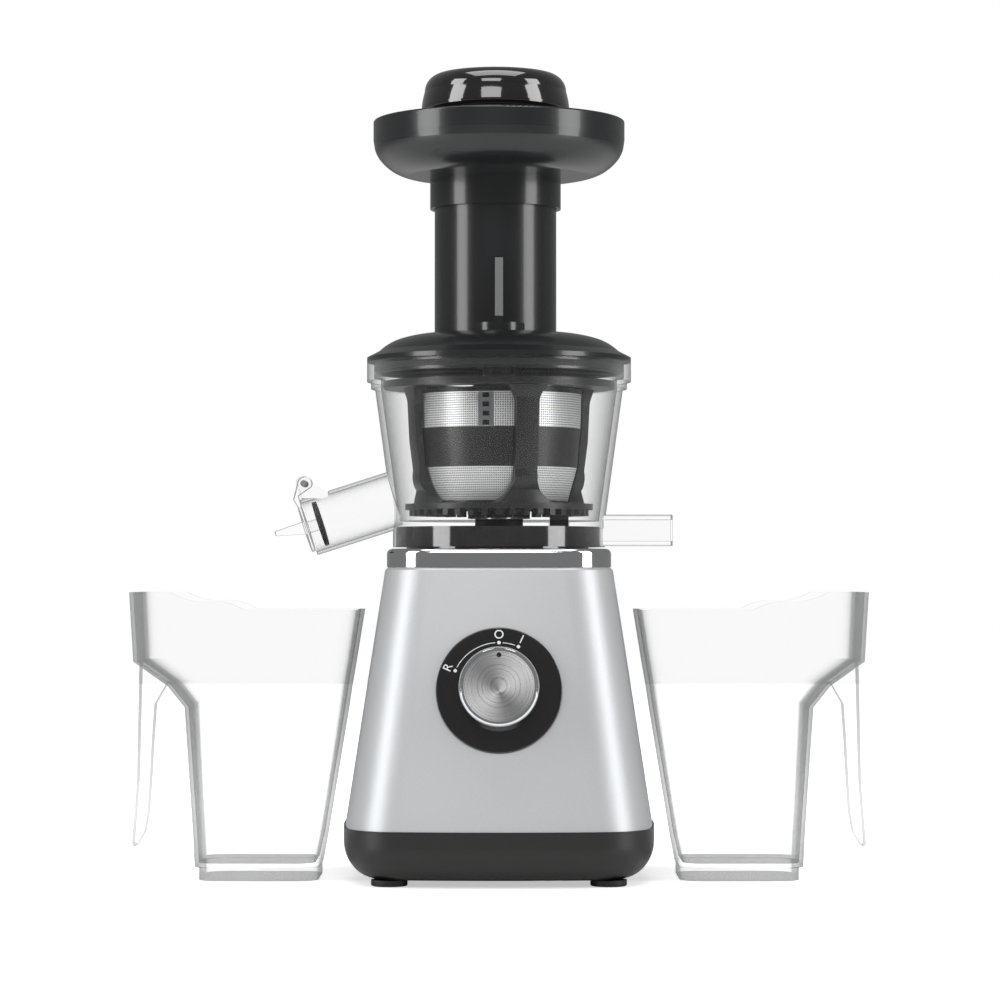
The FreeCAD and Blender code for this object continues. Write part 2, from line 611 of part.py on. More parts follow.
def make_bowl():
    body = new_body("juicing_bowl")
    skirt_inner = dim.skirt_radius - dim.skirt_wall
    revolve(body, [
        (0, dim.floor_under), (skirt_inner, dim.floor_under), (skirt_inner, dim.bowl_foot),
        (dim.skirt_radius, dim.bowl_foot), (dim.skirt_radius, dim.floor_top),
        (dim.bowl_top_radius, dim.wall_top), (dim.step_radius, dim.wall_top),
        (dim.step_radius, dim.step_height), (dim.rim_radius, dim.step_height),
        (dim.rim_radius, dim.rim_top), (0, dim.rim_top),
    ])
    rod(body, along_spout(-50), SPOUT_ALONG, dim.spout_radius, 50)
    lug_top = (-dim.hinge_x + dim.lug_radius, dim.hinge_z)
    extrude(body, [
        (-dim.hinge_x - 1.3, dim.hinge_z - 7.5),
        (-dim.hinge_x + 18, dim.hinge_z - 8), lug_top,
        (-dim.hinge_x, dim.hinge_z + dim.lug_radius, dim.lug_radius),
        (-dim.hinge_x - dim.lug_radius, dim.hinge_z, dim.lug_radius),
    ], dim.lug_half * 2, role="XZ_Plane", both=True)
    extrude(body, rectangle(-dim.hinge_x - 8, dim.hinge_z - 7.4, -dim.hinge_x + 12, dim.hinge_z + 8),
            dim.lug_gap * 2, role="XZ_Plane", both=True, cut=True)
    extrude(body, (-dim.hinge_x, dim.hinge_z, dim.pin_radius), 30, role="XZ_Plane", both=True, cut=True)
    extrude(body, rounded_rectangle(-dim.duct_half, dim.duct_bottom, dim.duct_half, dim.duct_top, 3.5),
            dim.duct_end - dim.duct_start, role="YZ_Plane", level=dim.duct_start)
    revolve(body, [
        (0, dim.floor_top), (dim.skirt_radius - dim.bowl_wall, dim.floor_top),
        (dim.bowl_top_radius - dim.bowl_wall, dim.wall_top),
        (dim.bowl_top_radius - dim.bowl_wall, dim.rim_ledge), (dim.rim_bore, dim.rim_ledge),
        (dim.rim_bore, dim.rim_top), (0, dim.rim_top),
    ], cut=True)
    rod(body, along_spout(-45), SPOUT_ALONG, dim.spout_bore, 60, cut=True)
    extrude(body, rectangle(-dim.port_half, dim.duct_bottom + 2.4, dim.port_half, dim.duct_top - 2.4),
            dim.duct_end - dim.skirt_radius + 2, role="YZ_Plane", level=dim.skirt_radius - 1, cut=True)
    extrude(body, rectangle(-dim.port_half, dim.duct_bottom + 2.4, dim.port_half, dim.floor_under - 0.6),
            dim.skirt_radius - dim.port_start, role="YZ_Plane", level=dim.port_start, cut=True)
    extrude(body, rectangle(dim.port_start, -dim.port_half, dim.port_end, dim.port_half),
            12, level=dim.floor_under - 4, cut=True)
    rod(body, (0, 0, dim.floor_under - 1), UP, dim.socket_radius + 3, 6, cut=True)
    collar = turned("bowl_collar", ring_outline(
        dim.collar_bore, skirt_inner, dim.bowl_foot, dim.floor_under))
    extrude(collar, rectangle(0, -dim.duct_half, 60, dim.duct_half), 30, level=dim.bowl_foot - 2, cut=True)
    rod(collar, along_spout(-50), SPOUT_ALONG, dim.spout_radius + 0.2, 50, cut=True)
    turned("bowl_shaft_seal", ring_outline(
        dim.socket_radius + dim.running_gap, dim.socket_radius + 3, dim.floor_under, dim.floor_top + 1))
    pin = turned("gear_pin", [
        (0, dim.floor_top), (dim.layshaft_radius, dim.floor_top),
        (dim.layshaft_radius, dim.ring_gear_top), (0, dim.ring_gear_top),
    ])
    move(pin, 0, idler_distance, 0)
    hinge = new_body("spout_hinge_pin")
    extrude(hinge, (-dim.hinge_x, dim.hinge_z, dim.pin_radius), dim.lug_half * 2 + 1,
            role="XZ_Plane", both=True)


def make_cap():
    """The flip cap: a hook on the hinge pin, a flap before the mouth, a lever and a stem."""
    cap = new_body("juice_cap")
    hook = dim.lug_radius - 0.4
    half = dim.lug_gap - 0.4
    front = along_spout(dim.flap_gap + dim.flap_thickness, dim.flap_radius - 1)
    back = along_spout(dim.flap_gap, dim.flap_radius - 1)
    shoulder = along_spout(dim.flap_gap + dim.flap_thickness + 1, dim.spout_radius + 1)
    throat = along_spout(dim.flap_gap - 0.2, dim.spout_radius + 2.2)
    extrude(cap, [
        (shoulder[0], shoulder[2]), (front[0], front[2]), (back[0], back[2]), (throat[0], throat[2]),
        (-dim.hinge_x + hook, dim.hinge_z - 1.5), (-dim.hinge_x, dim.hinge_z + hook, hook),
        (-dim.hinge_x - hook, dim.hinge_z, hook),
    ], half * 2, role="XZ_Plane", both=True)
    rod(cap, along_spout(dim.flap_gap), SPOUT_ALONG, dim.flap_radius, dim.flap_thickness)
    rod(cap, along_spout(-dim.plug_depth), SPOUT_ALONG, dim.stem_radius,
        dim.plug_depth + dim.flap_gap + 0.5)
    tip = along_spout(17.0, 3.2)
    low = along_spout(17.0, 1.0)
    root_low = along_spout(dim.flap_gap + 1, -3.0)
    root_high = along_spout(dim.flap_gap + 1, 3.5)
    extrude(cap, [(root_high[0], root_high[2]), (tip[0], tip[2]), (low[0], low[2]),
                  (root_low[0], root_low[2])], 9.0, role="XZ_Plane", both=True)
    extrude(cap, (-dim.hinge_x, dim.hinge_z, dim.pin_radius + dim.running_gap), 30,
            role="XZ_Plane", both=True, cut=True)
    seal = new_body("cap_seal")
    rod(seal, along_spout(-dim.plug_depth - dim.plug_thickness), SPOUT_ALONG,
        dim.plug_radius, dim.plug_thickness)


# Strainer, wiper basket and auger inside the bowl

idler_distance = dim.auger_module * (dim.auger_teeth + dim.idler_teeth) / 2


def make_strainer():
    frame = new_body("strainer_frame")
    inside = dim.mesh_wall + 0.05
    ledge = inside + 1.15
    revolve(frame, [
        (dim.strainer_bore, dim.strainer_floor), (dim.mesh_low_radius - 1.5, dim.strainer_floor),
        (dim.mesh_low_radius, dim.strainer_floor + 1.5, 1.5), (dim.mesh_low_radius, dim.mesh_bottom),
        (dim.mesh_low_radius - ledge, dim.mesh_bottom),
        (dim.mesh_low_radius - ledge, dim.strainer_floor + 1.6),
        (dim.strainer_bore, dim.strainer_floor + 1.6),
    ])
    # the pulp chute under the strainer's floor seats in the port of the bowl
    chute = (dim.port_start + 0.4, -(dim.port_half - 0.4), dim.port_end - 0.4, dim.port_half - 0.4)
    extrude(frame, rectangle(*chute), dim.strainer_floor - dim.floor_under + 0.5, level=dim.floor_under)
    extrude(frame, rectangle(chute[0] + 1.2, chute[1] + 1.2, chute[2] - 1.2, chute[3] - 1.2),
            30, level=dim.floor_under - 1, cut=True)
    revolve(frame, ring_outline(
        dim.mesh_top_radius - ledge, dim.mesh_top_radius + 0.3, dim.mesh_top, dim.strainer_rim))
    revolve(frame, [
        (dim.band_bottom_radius - ledge, dim.band_bottom), (dim.band_bottom_radius, dim.band_bottom),
        (dim.band_bottom_radius + 0.2, dim.band_bottom + 2), (dim.band_top_radius, dim.band_top),
        (dim.band_top_radius - ledge, dim.band_top),
    ])
    # each rib's two long edges lie within the thickness of the rings that it joins
    stations = [
        (dim.mesh_low_radius, dim.mesh_bottom - 1), (dim.mesh_low_radius, dim.mesh_bottom),
        (dim.band_bottom_radius, dim.band_bottom + 1), (dim.band_top_radius, dim.band_top - 1),
        (dim.mesh_top_radius, dim.mesh_top + 1),
    ]
    outer = [(radius - inside, level) for radius, level in stations]
    inner = [(radius - ledge + 0.25, level) for radius, level in reversed(stations)]
    rib = extrude(frame, outer + inner, dim.rib_width, role="XZ_Plane", both=True)
    around(frame, rib, 12)
    turned("strainer_mesh_upper", [
        (dim.band_top_radius - dim.mesh_wall, dim.band_top), (dim.band_top_radius, dim.band_top),
        (dim.mesh_top_radius, dim.mesh_top), (dim.mesh_top_radius - dim.mesh_wall, dim.mesh_top),
    ])
    turned("strainer_mesh_lower", [
        (dim.mesh_low_radius - dim.mesh_wall, dim.mesh_bottom), (dim.mesh_low_radius, dim.mesh_bottom),
        (dim.band_bottom_radius, dim.band_bottom), (dim.band_bottom_radius - dim.mesh_wall, dim.band_bottom),
    ])


def make_basket():
    """Wiper basket: two rings, four posts, and a crown of prongs that the idler drives."""
    body = new_body("wiper_basket")
    revolve(body, ring_outline(
        dim.basket_ring_bore, dim.basket_ring_radius, dim.basket_ring_bottom, dim.basket_ring_top))
    revolve(body, ring_outline(dim.flange_bore, dim.flange_radius, dim.flange_bottom, dim.flange_top))
    low, high = dim.flange_top, dim.basket_ring_bottom
    thin, wide, broad = dim.post_width / 2, dim.post_top_width / 2, dim.post_foot_width / 2
    post = extrude(body, [
        (broad, low), (thin, low + 11, -16.0), (thin, high - 8), (wide, high, -14.0),
        (-wide, high), (-thin, high - 8, -14.0), (-thin, low + 11), (-broad, low, -16.0),
    ], 22, role="YZ_Plane", level=dim.flange_bore - 3)
    around(body, post, 4)
    gap = dim.post_gap
    inner = [(dim.band_bottom_radius + gap, dim.band_bottom), (dim.band_top_radius + gap, dim.band_top),
             (dim.mesh_top_radius + gap, dim.mesh_top), (dim.mesh_top_radius + gap, dim.basket_ring_bottom)]
    revolve(body, [
        (20, dim.flange_top), (dim.flange_bore, dim.flange_top),
        (dim.mesh_low_radius + gap, dim.mesh_bottom)] + inner + [(20, dim.basket_ring_bottom)], cut=True)
    revolve(body, [
        (42.7, dim.flange_top), (70, dim.flange_top), (70, dim.basket_ring_bottom),
        (48.0, dim.basket_ring_bottom), (46.5, dim.basket_ring_bottom - 6),
        (45.5, 217), (43.5, 202), (41.6, 192, -12.0)], cut=True)
    prong = extrude(body, [
        (dim.prong_bore, -dim.prong_width / 2), (dim.prong_radius, -dim.prong_width / 2 - 0.25),
        (dim.prong_radius, dim.prong_width / 2 + 0.25), (dim.prong_bore, dim.prong_width / 2),
    ], dim.flange_bottom - dim.prong_bottom + 0.3, level=dim.prong_bottom)
    around(body, prong, dim.prong_count)
    move(body, 0, 0, 0, Rotation(UP, -72))
    seat = gap - 0.06
    for number in range(4):
        blade = new_body(f"wiper_blade_{number + 1}")
        foot = dim.mesh_low_radius + dim.clearance
        extrude(blade, [
            (foot, dim.mesh_bottom), (dim.mesh_low_radius + seat, dim.mesh_bottom),
            (dim.band_bottom_radius + seat, dim.band_bottom), (dim.band_top_radius + seat, dim.band_top),
            (dim.mesh_top_radius + seat, dim.mesh_top),
            (dim.mesh_top_radius + dim.clearance, dim.mesh_top),
            (dim.band_top_radius + dim.clearance, dim.band_top),
            (dim.band_bottom_radius + dim.clearance, dim.band_bottom)],
            dim.blade_width, role="XZ_Plane", both=True)
        move(blade, 0, 0, 0, Rotation(UP, -72 + 90 * number))


def make_auger():
    """Feed screw: a drive gear at its foot, a tapered core and a helical flight."""
    body = new_body("auger")
    pitch_radius = dim.auger_module * dim.auger_teeth / 2
    revolve(body, [
        (0, dim.ring_gear_bottom), (pitch_radius - dim.auger_module * 1.25, dim.ring_gear_bottom),
        (pitch_radius - dim.auger_module * 1.25, dim.ring_gear_top), (dim.auger_neck, dim.ring_gear_top),
        (dim.auger_neck, dim.strainer_floor + 3), (dim.auger_core, dim.auger_foot),
        (dim.auger_top_core, dim.auger_head), (dim.auger_shaft, dim.auger_head + 6),
        (dim.auger_shaft, dim.auger_tip), (0, dim.auger_tip),
    ])
    sketch = new_sketch(body)
    root = dim.auger_top_core - 4
    draw(sketch, [
        (root, dim.auger_foot), (44, dim.auger_foot + 2), (44, dim.auger_foot + 3.5),
        (root, dim.auger_foot + dim.flight_width + 1),
    ])
    flight = body.newObject("PartDesign::AdditiveHelix", "auger_flight")
    flight.Profile = sketch
    flight.ReferenceAxis = (sketch, ["V_Axis"])
    flight.Mode = "pitch-height-angle"
    bind(flight, "Pitch", dim.flight_pitch)
    bind(flight, "Height", dim.auger_head - dim.auger_foot - dim.flight_width - 2)
    body.Tip = flight
    free = dim.mesh_wall + 1.2 + 0.7
    below, above = dim.auger_foot - 4, dim.auger_head + 20
    head_radius = dim.mesh_top_radius - free - 1
    revolve(body, [
        (dim.mesh_low_radius - free, below), (60, below), (60, above),
        (head_radius, above), (head_radius, dim.mesh_top),
        (dim.band_top_radius - free, dim.band_top), (dim.band_bottom_radius - free, dim.band_bottom),
        (dim.mesh_low_radius - free, dim.mesh_bottom),
    ], cut=True)
    one = extrude(body, tooth(pitch_radius, dim.auger_module),
                  dim.ring_gear_top - dim.ring_gear_bottom, level=dim.ring_gear_bottom)
    around(body, one, dim.auger_teeth)
    extrude(body, (0, 0, dim.socket_radius), dim.socket_top - dim.ring_gear_bottom + 5,
            level=dim.ring_gear_bottom - 5, cut=True)
    socket = new_body("auger_socket")
    extrude(socket, (0, 0, dim.socket_radius), dim.socket_top - dim.plinth_top - 2.5,
            level=dim.plinth_top + 2.5)
    extrude(socket, hexagon(dim.hex_flat + 0.35), dim.hex_top - dim.plinth_top + 2,
            level=dim.plinth_top, cut=True)
    idler = new_body("idler_gear")
    gear(idler, dim.idler_teeth.number, dim.auger_module, dim.ring_gear_bottom,
         dim.ring_gear_top - dim.ring_gear_bottom, turn=180 / dim.idler_teeth.number + 90)
    extrude(idler, (0, 0, dim.layshaft_radius + dim.running_gap), 20, level=dim.floor_top, cut=True)
    move(idler, 0, idler_distance, 0)


# Lid with the feed tube, hopper tray and pusher

def make_lid():
    body = new_body("lid")
    top = dim.rim_top + 15
    revolve(body, [
        (0, dim.skirt_bottom), (dim.lid_skirt_radius, dim.skirt_bottom), (dim.lid_skirt_radius, dim.rim_top),
        (dim.rim_radius, dim.rim_top), (dim.rim_radius, dim.lid_edge_top), (60, dim.rim_top + 5.3),
        (50.5, dim.rim_top + 11.2, 26.0), (38, top - 1.2, 60.0), (12, top), (0, top),
    ])
    rod(body, (dim.tube_x, dim.tube_y, dim.rim_top + 6), UP, dim.tube_radius, dim.tube_top - dim.rim_top - 6)
    thin = dim.lid_wall
    revolve(body, [
        (0, dim.skirt_bottom - 1), (dim.lid_skirt_radius - thin, dim.skirt_bottom - 1),
        (dim.lid_skirt_radius - thin, dim.rim_top), (58, dim.rim_top + 3),
        (49.5, dim.rim_top + 8.6, 26.0), (38, top - thin - 1.2, 60.0), (12, top - thin), (0, top - thin),
    ], cut=True)
    rod(body, (dim.tube_x, dim.tube_y, dim.skirt_bottom), UP, dim.tube_bore, 120, cut=True)
    rod(body, (0, 0, dim.boss_bottom), UP, dim.boss_radius, dim.boss_top - dim.boss_bottom)
    rod(body, (0, 0, dim.boss_bottom - 1), UP, dim.auger_shaft + dim.running_gap,
        dim.auger_tip + 1.5 - dim.boss_bottom, cut=True)
    front = dim.tube_y - dim.tube_radius
    extrude(body, [
        (front + 2, dim.boss_top - 3), (front + 2, dim.fin_top), (front - 1, dim.fin_top - 2),
        (-dim.boss_radius + 0.5, dim.boss_top + 3), (-dim.boss_radius + 0.5, dim.boss_top - 3),
    ], dim.fin_width, role="YZ_Plane", both=True)
    groove = ring_outline(dim.lid_skirt_radius - 1, dim.lid_skirt_radius + 1,
                          dim.skirt_bottom + 1.4, dim.skirt_bottom + 4.4)
    revolve(body, groove, cut=True)
    turned("lid_gasket", ring_outline(
        dim.lid_skirt_radius - 1, dim.rim_bore - dim.clearance,
        dim.skirt_bottom + 1.4, dim.skirt_bottom + 4.4))


def make_tray():
    body = new_body("hopper_tray")
    low, wall = dim.tray_bottom, dim.tray_wall
    local_y = dim.tube_y - dim.tray_y
    revolve(body, [
        (0, low), (45.5, low), (59, low + 7.6, 22.0), (62.4, low + 14, 14.0),
        (dim.tray_radius, low + 18), (dim.tray_radius, dim.tray_top), (0, dim.tray_top),
    ])
    rod(body, (dim.tube_x, local_y, dim.sleeve_bottom), UP, dim.sleeve_radius, low - dim.sleeve_bottom + 4)
    revolve(body, [
        (0, low + wall), (45, low + wall), (57.4, low + 9.4, 20.0), (60.3, low + 15, 12.0),
        (dim.tray_radius - wall, low + 18), (dim.tray_radius - wall, dim.tray_top + 1),
        (0, dim.tray_top + 1),
    ], cut=True)
    rod(body, (dim.tube_x, local_y, dim.sleeve_bottom - 1), UP, dim.tube_radius + dim.clearance,
        dim.tube_top + dim.clearance + 1 - dim.sleeve_bottom, cut=True)
    rod(body, (dim.tube_x, local_y, dim.sleeve_bottom), UP, dim.tube_bore, 60, cut=True)
    fillet(body, 0.9, at_level(dim.tray_top))
    move(body, 0, dim.tray_y, 0)


def make_pusher():
    stem = turned("pusher_body", [
        (0, dim.pusher_bottom + 3), (dim.pusher_radius - 3.5, dim.pusher_bottom + 3),
        (dim.pusher_radius - 3, dim.pusher_bottom), (dim.pusher_radius - 0.8, dim.pusher_bottom),
        (dim.pusher_radius, dim.pusher_bottom + 0.8, 0.8), (dim.pusher_radius, dim.pusher_seat),
        (dim.pusher_skirt, dim.pusher_seat), (dim.pusher_skirt, dim.cap_bottom + 2), (0, dim.cap_bottom + 2),
    ])
    cap = turned("pusher_cap", [
        (dim.pusher_skirt, dim.cap_bottom), (dim.cap_radius - 1.5, dim.cap_bottom),
        (dim.cap_radius, dim.cap_bottom + 4, 6.0), (dim.cap_radius - 1.5, dim.cap_top - dim.cap_edge, 40.0),
        (dim.cap_radius - dim.cap_edge - 1, dim.cap_top, dim.cap_edge), (0, dim.cap_top),
        (0, dim.cap_bottom + 2), (dim.pusher_skirt, dim.cap_bottom + 2),
    ])
    for piece in (stem, cap):
        move(piece, dim.tube_x, dim.tube_y, 0)


# Jugs: the left one's sections as left side, right side, half depth and corner radius

JUG_SECTIONS = [
    (6.5, 150.0, 88.5, 32.0, 12.0), (20.0, 150.6, 86.0, 34.0, 13.0), (85.0, 154.7, 75.5, 40.0, 15.0),
    (95.7, 163.2, 74.0, 41.0, 15.0), (107.6, 179.7, 72.0, 42.5, 15.0), (141.6, 181.6, 66.6, 45.0, 16.0),
]
HANDLE = [
    (164.8, 97.5), (178.2, 107.1), (178.8, 104.6), (180.0, 47.6), (182.3, 17.0), (180.5, 15.4, 1.5),
    (176.5, 22.1), (174.8, 31.6), (173.7, 47.6), (172.6, 68.6), (171.4, 86.0),
]


def jug_sections(amount, side):
    """The jug's outlines, each moved inwards by one amount."""
    sections = []
    for level, far, near, depth, corner in JUG_SECTIONS:
        low, high = sorted((side * (far - amount), side * (near + amount)))
        outline = rounded_rectangle(as_size(low), as_size(amount - depth), as_size(high),
                                    as_size(depth - amount), as_size(corner - amount))
        sections.append((as_size(level), outline))
    return sections


def make_jug(label, side):
    """A clear jug; side is -1 for the left one and 1 for the right one."""
    body = new_body(label)
    loft(body, jug_sections(0.0, side))
    low, high = sorted((side * dim.jug_foot_far.number, side * dim.jug_foot_near.number))
    extrude(body, rounded_rectangle(as_size(low), as_size(-30), as_size(high), as_size(30), as_size(11)),
            dim.jug_foot + 0.5)
    inner = jug_sections(dim.jug_wall.number, side)
    inner[0] = (as_size(8.6), inner[0][1])
    inner[-1] = (as_size(141.7), inner[-1][1])
    loft(body, inner, cut=True)
    blade = []
    for point in HANDLE:
        arc = [point[2] * -side] if len(point) == 3 else []
        blade.append([side * point[0], point[1]] + arc)
    extrude(body, blade, dim.handle_half * 2, role="XZ_Plane", both=True)
    rim = [(side * 60, 160), (side * 60, dim.jug_low_rim), (side * 124, dim.jug_low_rim),
           (side * 142, dim.jug_low_rim + 4.3, -30.0 * side), (side * 160, dim.jug_high_rim, 30.0 * side),
           (side * 160, 160)]
    extrude(body, rim, 120, role="XZ_Plane", both=True, cut=True)


make_pan()
make_feet()
make_housing()
make_top()
make_dial()
make_motor()
make_gearbox()
make_bowl()
make_cap()
make_strainer()
make_basket()
make_auger()
make_lid()
make_tray()
make_pusher()
make_jug("juice_jug", -1)
make_jug("pulp_jug", 1)
make_gland()
document.recompute()

os.makedirs("parts", exist_ok=True)
faults = [f"{item.Label} {item.getStatusString()}" for item in document.Objects
          if "Invalid" in item.State or "Error" in item.State]
for label, piece in pieces.items():
    shape = piece.Shape
    if shape.isNull() or not shape.isValid() or len(shape.Solids) != 1:
        faults.append(f"{label}: {0 if shape.isNull() else len(shape.Solids)} solids")
if faults:
    raise RuntimeError("failed pieces: " + ", ".join(faults))
for label, piece in pieces.items():
    piece.Shape.exportStep(f"parts/{label}.step")
print(len(pieces), "pieces written")
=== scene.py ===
import json
import math

import bmesh
import bpy
from mathutils import Matrix, Vector


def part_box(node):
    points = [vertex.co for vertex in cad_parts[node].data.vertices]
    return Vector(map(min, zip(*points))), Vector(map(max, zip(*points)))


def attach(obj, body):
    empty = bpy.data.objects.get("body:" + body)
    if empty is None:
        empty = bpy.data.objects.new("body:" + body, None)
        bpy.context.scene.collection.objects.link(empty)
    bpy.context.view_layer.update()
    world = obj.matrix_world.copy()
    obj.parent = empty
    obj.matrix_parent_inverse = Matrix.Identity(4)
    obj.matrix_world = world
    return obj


bl_info = {
    "name": "Cold Press Juicer",
    "version": (1, 0, 0),
    "blender": (4, 5, 0),
    "location": "View3D > Sidebar > Juicer",
    "description": "Materials, dial marks, mesh, camera and studio of a cold press juicer",
    "category": "Object",
}

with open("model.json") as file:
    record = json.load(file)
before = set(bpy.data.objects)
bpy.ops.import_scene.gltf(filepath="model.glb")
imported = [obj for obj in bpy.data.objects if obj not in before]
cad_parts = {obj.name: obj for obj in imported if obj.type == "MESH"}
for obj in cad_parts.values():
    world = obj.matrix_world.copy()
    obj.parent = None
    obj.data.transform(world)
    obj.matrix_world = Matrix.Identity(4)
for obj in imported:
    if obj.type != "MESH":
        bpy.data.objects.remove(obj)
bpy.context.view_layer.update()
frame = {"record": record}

# The dial stands on the tilted front face, which the knob's joint gives
KNOB = next(joint for joint in frame["record"]["behaviour"]["joints"] if joint["name"] == "knob_turn")
DIAL_CENTRE = Vector(KNOB["pos_m"])
DIAL_OUT = Vector(KNOB["axis"]).normalized()
DIAL_RIGHT = Vector((1, 0, 0))
DIAL_UP = DIAL_OUT.cross(DIAL_RIGHT)


def linear(code, alpha=1.0):
    """Turn an sRGB hex code into a linear colour."""
    values = [int(code[i:i + 2], 16) / 255 for i in (1, 3, 5)]
    steps = [v / 12.92 if v <= 0.04045 else ((v + 0.055) / 1.055) ** 2.4 for v in values]
    return (*steps, alpha)


def colour_setting(name, description, code):
    return bpy.props.FloatVectorProperty(
        name=name, description=description, subtype="COLOR", size=4, min=0.0, max=1.0,
        default=linear(code))


def length_setting(name, description, metres):
    return bpy.props.FloatProperty(
        name=name, description=description, default=metres, min=0.0, unit="LENGTH")


class JuicerColours(bpy.types.PropertyGroup):
    """Colours of the juicer's finishes."""

    silver: colour_setting("Silver lacquer", "Lacquer of the motor housing", "#A8AAAC")
    pan: colour_setting("Pan black", "Moulded pan and feet", "#161615")
    gloss: colour_setting("Piano black", "Dial plate, deck and pusher cap", "#151314")
    smoked: colour_setting("Smoked black", "Lid, feed tube and tray", "#1B1C1D")
    basket: colour_setting("Basket black", "Wiper basket, strainer and auger", "#121212")
    clear: colour_setting("Clear copolyester", "Bowl, cap and jugs", "#C6C7C7")
    mark: colour_setting("Dial marks", "Printed marks on the dial", "#C9CBCB")


class JuicerSizes(bpy.types.PropertyGroup):
    """Sizes of the fine detail that the dressing adds."""

    mark_circle: length_setting("Mark circle", "Radius of the dots round the knob", 0.0230)
    dot_radius: length_setting("Dot radius", "Radius of each dot on the dial", 0.00085)
    glyph_circle: length_setting("Glyph circle", "Radius at which the letters stand", 0.0268)
    glyph_height: length_setting("Glyph height", "Height of the letters", 0.0042)
    mesh_foot_radius: length_setting("Mesh foot", "Radius of the upper mesh at its foot", 0.0407)
    mesh_pitch: length_setting("Mesh pitch", "Spacing of the strainer's holes", 0.00115)
    brush_pitch: length_setting("Brush pitch", "Spacing of the turned lines on the knob", 0.00035)
    camera_distance: length_setting("Camera distance", "From the machine's axis to the lens", 1.70)
    camera_height: length_setting("Camera height", "Height of the lens above the counter", 0.150)


def colours():
    return bpy.context.scene.juicer_colours


def sizes():
    return bpy.context.scene.juicer_sizes


# Materials

def add_node(tree, kind, settings=None, inputs=None, links=None):
    """Add one node, set its properties and sockets, and link it."""
    node = tree.nodes.new(kind)
    for name, value in (settings or {}).items():
        setattr(node, name, value)
    for name, value in (inputs or {}).items():
        node.inputs[name].default_value = value
    for name, socket in (links or {}).items():
        tree.links.new(socket, node.inputs[name])
    return node


def blank_material(name):
    """A material with a Principled shader and nothing else."""
    material = bpy.data.materials.new(name)
    material.use_nodes = True
    tree = material.node_tree
    tree.nodes.clear()
    shader = add_node(tree, "ShaderNodeBsdfPrincipled")
    output = add_node(tree, "ShaderNodeOutputMaterial", links={"Surface": shader.outputs["BSDF"]})
    return material, tree, shader, output


def set_shader(shader, colour, roughness, **more):
    shader.inputs["Base Color"].default_value = colour
    shader.inputs["Roughness"].default_value = roughness
    for name, value in more.items():
        shader.inputs[name.replace("_", " ")].default_value = value


def fine_grain(tree, shader, grain, depth, mottle=None):
    """Moulding grain of one real size as a bump, with a faint change of roughness."""
    place = add_node(tree, "ShaderNodeTexCoord")
    noise = add_node(tree, "ShaderNodeTexNoise", inputs={"Scale": 1.0 / grain, "Detail": 3.0},
                     links={"Vector": place.outputs["Object"]})
    bump = add_node(tree, "ShaderNodeBump", inputs={"Strength": 0.35, "Distance": depth},
                    links={"Height": noise.outputs["Fac"]})
    tree.links.new(bump.outputs["Normal"], shader.inputs["Normal"])
    if mottle:
        low, high = mottle
        spread = add_node(tree, "ShaderNodeMapRange", inputs={"To Min": low, "To Max": high},
                          links={"Value": noise.outputs["Fac"]})
        tree.links.new(spread.outputs["Result"], shader.inputs["Roughness"])


def silver_lacquer():
    """Sprayed silver lacquer on ABS: a metallic fleck under a soft clear coat."""
    material, tree, shader, _ = blank_material("silver lacquer on ABS")
    set_shader(shader, colours().silver, 0.42, Metallic=0.35, Coat_Weight=0.25, Coat_Roughness=0.3)
    place = add_node(tree, "ShaderNodeTexCoord")
    # real flecks are near 0.05 mm; they are drawn at 0.5 mm so that they show at all
    fleck = add_node(tree, "ShaderNodeTexVoronoi", inputs={"Scale": 1.0 / 0.0005},
                     links={"Vector": place.outputs["Object"]})
    fleck_tint_and_painted_edge_shade = add_node(tree, "ShaderNodeMapRange", inputs={"To Min": 0.97, "To Max": 1.03},
                    links={"Value": fleck.outputs["Color"]})
    mix = add_node(tree, "ShaderNodeVectorMath", {"operation": "SCALE"},
                   links={"Scale": fleck_tint_and_painted_edge_shade.outputs["Result"]})
    mix.inputs[0].default_value = colours().silver[:3]
    tree.links.new(mix.outputs["Vector"], shader.inputs["Base Color"])
    return material


def moulded_black(name, colour, roughness, grain=0.0007, coat=0.0, depth=0.00004):
    """Injection-moulded black plastic: even colour, a fine spark grain and a soft sheen."""
    material, tree, shader, _ = blank_material(name)
    set_shader(shader, colour, roughness, IOR=1.5, Coat_Weight=coat, Coat_Roughness=0.05,
               Specular_IOR_Level=0.36)
    fine_grain(tree, shader, grain, depth, (roughness * 0.92, roughness * 1.08))
    return material


def bright_chrome():
    """Bright chrome plate on ABS: a mirror with almost no haze."""
    material, tree, shader, _ = blank_material("bright chrome plate")
    set_shader(shader, linear("#DCDDDF"), 0.07, Metallic=1.0)
    fine_grain(tree, shader, 0.004, 0.00002, (0.05, 0.09))
    return material


